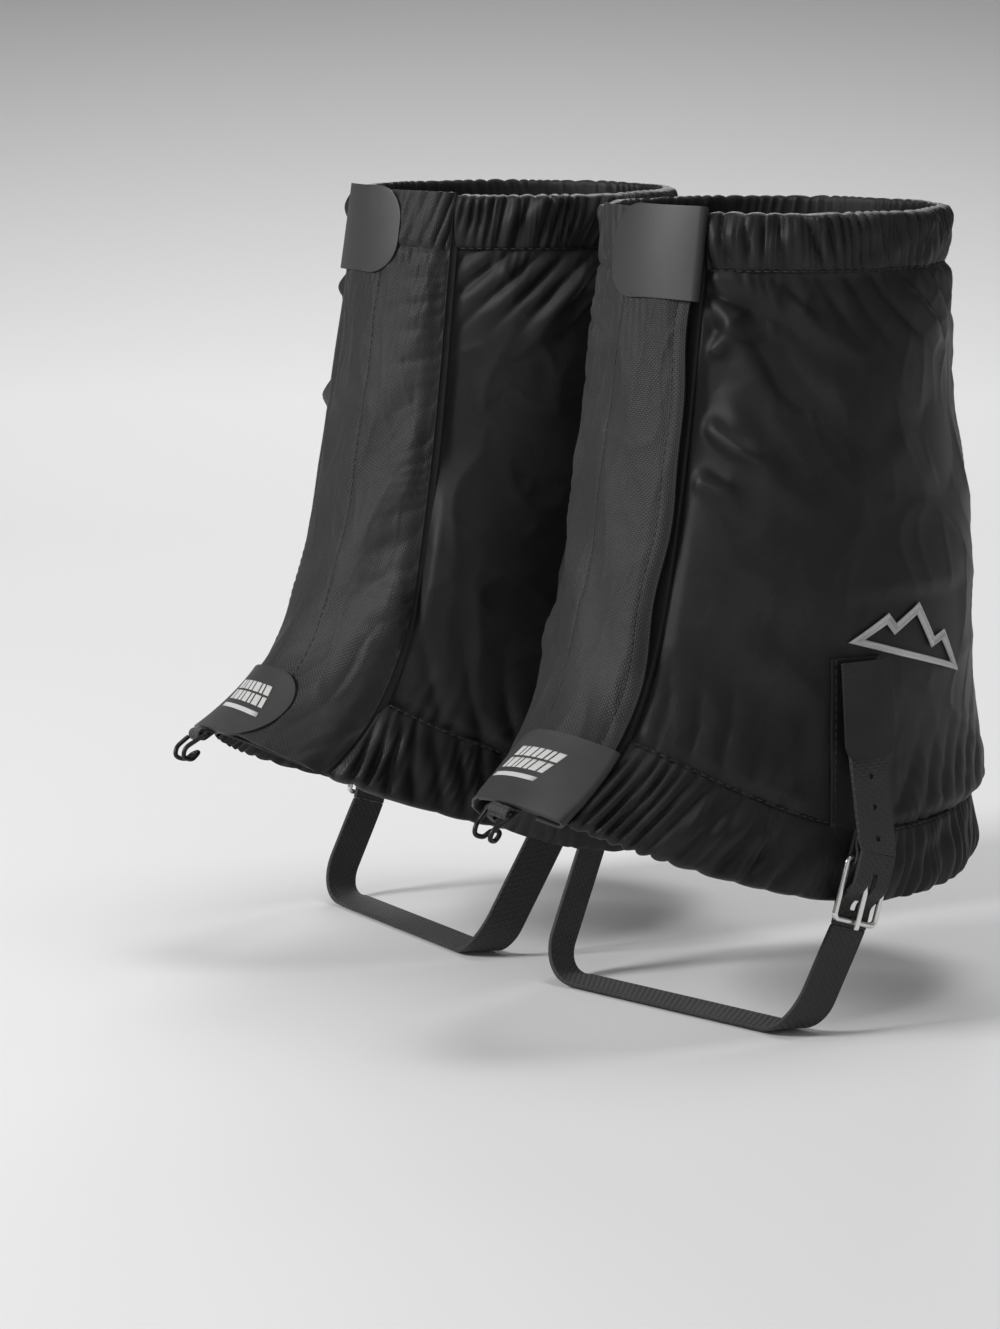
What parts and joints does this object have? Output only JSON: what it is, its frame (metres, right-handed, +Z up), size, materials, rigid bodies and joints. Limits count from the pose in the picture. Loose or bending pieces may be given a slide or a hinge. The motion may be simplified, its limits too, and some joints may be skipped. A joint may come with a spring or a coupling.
{
  "type": "pair of ankle gaiters",
  "caption": "Low fabric ankle gaiters worn over hiking shoes, each with a front hook-and-loop flap, elastic hems, a lace hook and a buckled strap under the sole.",
  "frame": {"origin": "midway between the two leg axes, level with the top face of the straps that pass under the soles", "axes": "+Z up the leg; -Y to the wearer's toes; +X to the wearer's left, so the left gaiter is at +X"},
  "size_m": [0.2748, 0.2128, 0.2631],
  "materials": {
    "pack_cloth": "coated woven nylon, black, slightly shiny",
    "flap_cloth": "heavier woven nylon, charcoal",
    "tab_rubber": "smooth rubberised fabric, matt dark grey",
    "elastic": "knitted elastic and bias tape",
    "hook_and_loop": "hook and loop tape",
    "webbing": "woven nylon webbing",
    "thread": "light grey embroidery thread",
    "print": "light grey flexible print",
    "nickel": "bright nickel-plated wire",
    "black_wire": "black coated wire"
  },
  "bodies": {
    "gaiter_left": {"outer_panel_left": "pack_cloth", "inner_panel_left": "pack_cloth", "back_seam_tape_left": "elastic", "front_underflap_left": "pack_cloth", "top_casing_left": "pack_cloth", "top_elastic_left": "elastic", "hem_casing_left": "pack_cloth", "hem_elastic_left": "elastic", "flap_binding_left": "flap_cloth", "front_hook_tape_left": "hook_and_loop", "side_emblem_left": "thread", "outer_patch_left": "flap_cloth", "inner_patch_left": "flap_cloth", "buckle_anchor_left": "webbing"},
    "flap_left": {"front_flap_left": "flap_cloth", "flap_loop_tape_left": "hook_and_loop", "upper_tab_left": "tab_rubber", "lower_tab_left": "tab_rubber", "tab_label_left": "print", "hook_webbing_left": "webbing"},
    "lace_hook_left": {"lace_hook_left": "black_wire"},
    "strap_tail_left": {"strap_tail_left": "webbing", "strap_bight_left": "webbing"},
    "strap_keeper_left": {"strap_keeper_left": "flap_cloth"},
    "buckle_left": {"buckle_frame_left": "nickel"},
    "prong_left": {"buckle_prong_left": "nickel"},
    "instep_strap_left": {"instep_strap_left": "webbing"},
    "gaiter_right": {"outer_panel_right": "pack_cloth", "inner_panel_right": "pack_cloth", "back_seam_tape_right": "elastic", "front_underflap_right": "pack_cloth", "top_casing_right": "pack_cloth", "top_elastic_right": "elastic", "hem_casing_right": "pack_cloth", "hem_elastic_right": "elastic", "flap_binding_right": "flap_cloth", "front_hook_tape_right": "hook_and_loop", "side_emblem_right": "thread", "outer_patch_right": "flap_cloth", "inner_patch_right": "flap_cloth", "buckle_anchor_right": "webbing"},
    "flap_right": {"front_flap_right": "flap_cloth", "flap_loop_tape_right": "hook_and_loop", "upper_tab_right": "tab_rubber", "lower_tab_right": "tab_rubber", "tab_label_right": "print", "hook_webbing_right": "webbing"},
    "lace_hook_right": {"lace_hook_right": "black_wire"},
    "strap_tail_right": {"strap_tail_right": "webbing", "strap_bight_right": "webbing"},
    "strap_keeper_right": {"strap_keeper_right": "flap_cloth"},
    "buckle_right": {"buckle_frame_right": "nickel"},
    "prong_right": {"buckle_prong_right": "nickel"},
    "instep_strap_right": {"instep_strap_right": "webbing"}
  },
  "joints": [
    {"name": "flap_open_left", "type": "hinge", "parent": "gaiter_left", "child": "flap_left", "pos_m": [0.04394, -0.09224, 0.0765], "axis": [0.0093, -0.2296, -0.9732], "range_deg": [0, 100]},
    {"name": "lace_hook_swing_left", "type": "hinge", "parent": "flap_left", "child": "lace_hook_left", "pos_m": [0.08442, -0.12568, 0.07564], "axis": [-0.9797, -0.1533, 0.1294], "range_deg": [-40, 60]},
    {"name": "strap_tail_peel_left", "type": "hinge", "parent": "gaiter_left", "child": "strap_tail_left", "pos_m": [0.1322, -0.01987, 0.03387], "axis": [0.0698, 0.9976, 0], "range_deg": [0, 45], "deforming": ["strap_bight_left"]},
    {"name": "keeper_lift_left", "type": "hinge", "parent": "gaiter_left", "child": "strap_keeper_left", "pos_m": [0.12951, -0.01382, 0.1177], "axis": [-0.0698, -0.9976, 0], "range_deg": [0, 100]},
    {"name": "buckle_tilt_left", "type": "hinge", "parent": "gaiter_left", "child": "buckle_left", "pos_m": [0.13261, -0.01403, 0.053], "axis": [-0.0667, -0.954, 0.2924], "range_deg": [0, 12]},
    {"name": "prong_swing_left", "type": "hinge", "parent": "buckle_left", "child": "prong_left", "pos_m": [0.13261, -0.01403, 0.053], "axis": [-0.0667, -0.954, 0.2924], "range_deg": [0, 34]},
    {"name": "instep_strap_swing_left", "type": "hinge", "parent": "gaiter_left", "child": "instep_strap_left", "pos_m": [0.1322, -0.01987, 0.03387], "axis": [0.9959, 0.0342, -0.0839], "range_deg": [-15, 15]},
    {"name": "flap_open_right", "type": "hinge", "parent": "gaiter_right", "child": "flap_right", "pos_m": [-0.04394, -0.09224, 0.0765], "axis": [0.0093, 0.2296, 0.9732], "range_deg": [0, 100]},
    {"name": "lace_hook_swing_right", "type": "hinge", "parent": "flap_right", "child": "lace_hook_right", "pos_m": [-0.08442, -0.12568, 0.07564], "axis": [-0.9797, 0.1533, -0.1294], "range_deg": [-40, 60]},
    {"name": "strap_tail_peel_right", "type": "hinge", "parent": "gaiter_right", "child": "strap_tail_right", "pos_m": [-0.1322, -0.01987, 0.03387], "axis": [0.0698, -0.9976, 0], "range_deg": [0, 45], "deforming": ["strap_bight_right"]},
    {"name": "keeper_lift_right", "type": "hinge", "parent": "gaiter_right", "child": "strap_keeper_right", "pos_m": [-0.12951, -0.01382, 0.1177], "axis": [-0.0698, 0.9976, 0], "range_deg": [0, 100]},
    {"name": "buckle_tilt_right", "type": "hinge", "parent": "gaiter_right", "child": "buckle_right", "pos_m": [-0.13261, -0.01403, 0.053], "axis": [-0.0667, 0.954, -0.2924], "range_deg": [0, 12]},
    {"name": "prong_swing_right", "type": "hinge", "parent": "buckle_right", "child": "prong_right", "pos_m": [-0.13261, -0.01403, 0.053], "axis": [-0.0667, 0.954, -0.2924], "range_deg": [0, 34]},
    {"name": "instep_strap_swing_right", "type": "hinge", "parent": "gaiter_right", "child": "instep_strap_right", "pos_m": [-0.1322, -0.01987, 0.03387], "axis": [0.9959, -0.0342, 0.0839], "range_deg": [-15, 15]},
    {"name": "right_gaiter_lift", "type": "slide", "parent": "gaiter_left", "child": "gaiter_right", "axis": [0, 0, 1], "range_m": [0, 0.3]}
  ],
  "couplings": [
    {"joint": "keeper_lift_left", "follows": "strap_tail_peel_left", "ratio": 2.2},
    {"joint": "buckle_tilt_left", "follows": "strap_tail_peel_left", "ratio": 0.25},
    {"joint": "prong_swing_left", "follows": "strap_tail_peel_left", "ratio": 0.75},
    {"joint": "keeper_lift_right", "follows": "strap_tail_peel_right", "ratio": 2.2},
    {"joint": "buckle_tilt_right", "follows": "strap_tail_peel_right", "ratio": 0.25},
    {"joint": "prong_swing_right", "follows": "strap_tail_peel_right", "ratio": 0.75}
  ]
}
